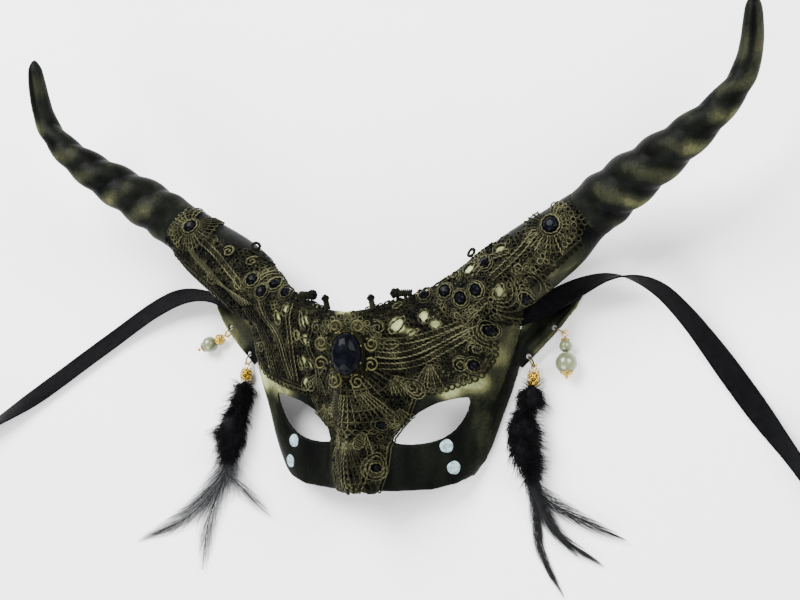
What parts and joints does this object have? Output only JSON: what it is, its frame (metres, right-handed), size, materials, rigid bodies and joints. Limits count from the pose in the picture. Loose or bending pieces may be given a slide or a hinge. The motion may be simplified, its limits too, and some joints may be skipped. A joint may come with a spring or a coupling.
{
  "type": "half mask",
  "caption": "Black and olive-gold antelope half mask with spiral horns, goat ears, guipure lace, an oval gem, pearl and feather drops and ribbon ties, lying face up.",
  "frame": {"origin": "bottom centre of the box around the mask with its horns and drops, ribbons left out, on the surface that the mask lies on", "axes": "+Z out of the face, +Y from the nose towards the horn tips, +X to the right of someone who looks at the face"},
  "size_m": [0.6825, 0.257, 0.0637],
  "materials": {
    "shell_paint": "black moulding dry-brushed with olive gold",
    "horn_paint": "black moulding dry-brushed with olive gold",
    "lace_cord": "black guipure lace rubbed with bronze gold",
    "black_gem": "faceted, polished",
    "antique_brass": "antique, dark in the hollows",
    "black_stud": "polished",
    "pale_stud": "pale blue-grey enamel",
    "dark_wire": "aged wire",
    "gold_wire": "bright gold",
    "pearl": "pearl lustre",
    "fur": "soft black fur",
    "hackle": "black feather with grey barbs",
    "satin": "black satin ribbon"
  },
  "bodies": {
    "root": {"mask_shell": "shell_paint", "left_horn": "horn_paint", "right_horn": "horn_paint", "brow_lace": "lace_cord", "nose_lace": "lace_cord", "right_arm_lace": "lace_cord", "left_arm_lace": "lace_cord", "lace_pegs": "lace_cord", "lace_knobs": "lace_cord", "lace_loops": "lace_cord", "gem_setting": "antique_brass", "oval_gem": "black_gem", "round_studs": "black_stud", "cheek_dots": "pale_stud", "right_ribbon": "satin", "left_ribbon": "satin", "right_ribbon_coil": "satin", "left_ribbon_coil": "satin"},
    "right_pearl_ring": {"right_pearl_ring": "dark_wire"},
    "right_pearl_drop": {"right_pearl_pin": "gold_wire", "right_small_pearl": "pearl", "right_big_pearl": "pearl", "right_upper_cap": "gold_wire", "right_lower_cap": "gold_wire"},
    "left_pearl_ring": {"left_pearl_ring": "dark_wire"},
    "left_pearl_drop": {"left_pearl_pin": "gold_wire", "left_bead_cluster": "gold_wire", "left_pearl": "pearl", "left_lower_cap": "gold_wire"},
    "right_feather_ring": {"right_feather_ring": "dark_wire"},
    "right_feather_drop": {"right_feather_pin": "gold_wire", "right_filigree_bead": "gold_wire", "right_fur_tuft": "fur", "right_hackles": "hackle"},
    "left_feather_ring": {"left_feather_ring": "dark_wire"},
    "left_feather_drop": {"left_feather_pin": "gold_wire", "left_filigree_bead": "gold_wire", "left_fur_tuft": "fur", "left_hackles": "hackle"}
  },
  "joints": [
    {"name": "right_pearl_ring_swing", "type": "hinge", "parent": "root", "child": "right_pearl_ring", "pos_m": [0.0863, -0.0057, 0.0035], "axis": [0, 0, 1], "range_deg": [-10, 10]},
    {"name": "right_pearl_drop_swing", "type": "hinge", "parent": "right_pearl_ring", "child": "right_pearl_drop", "pos_m": [0.0912, -0.0082, 0.0035], "axis": [0, 0, 1], "range_deg": [-5, 25]},
    {"name": "left_pearl_ring_swing", "type": "hinge", "parent": "root", "child": "left_pearl_ring", "pos_m": [-0.0863, -0.0057, 0.0035], "axis": [0, 0, -1], "range_deg": [-10, 10]},
    {"name": "left_pearl_drop_swing", "type": "hinge", "parent": "left_pearl_ring", "child": "left_pearl_drop", "pos_m": [-0.08961, -0.01009, 0.0035], "axis": [0, 0, -1], "range_deg": [-20, 20]},
    {"name": "right_feather_ring_swing", "type": "hinge", "parent": "root", "child": "right_feather_ring", "pos_m": [0.0743, -0.0194, 0.0035], "axis": [0, 0, 1], "range_deg": [-8, 8]},
    {"name": "right_feather_drop_swing", "type": "hinge", "parent": "right_feather_ring", "child": "right_feather_drop", "pos_m": [0.07688, -0.02426, 0.0035], "axis": [0, 0, 1], "range_deg": [-5, 10]},
    {"name": "left_feather_ring_swing", "type": "hinge", "parent": "root", "child": "left_feather_ring", "pos_m": [-0.0743, -0.0194, 0.0035], "axis": [0, 0, -1], "range_deg": [-8, 8]},
    {"name": "left_feather_drop_swing", "type": "hinge", "parent": "left_feather_ring", "child": "left_feather_drop", "pos_m": [-0.07618, -0.02457, 0.0035], "axis": [0, 0, -1], "range_deg": [-5, 10]}
  ]
}
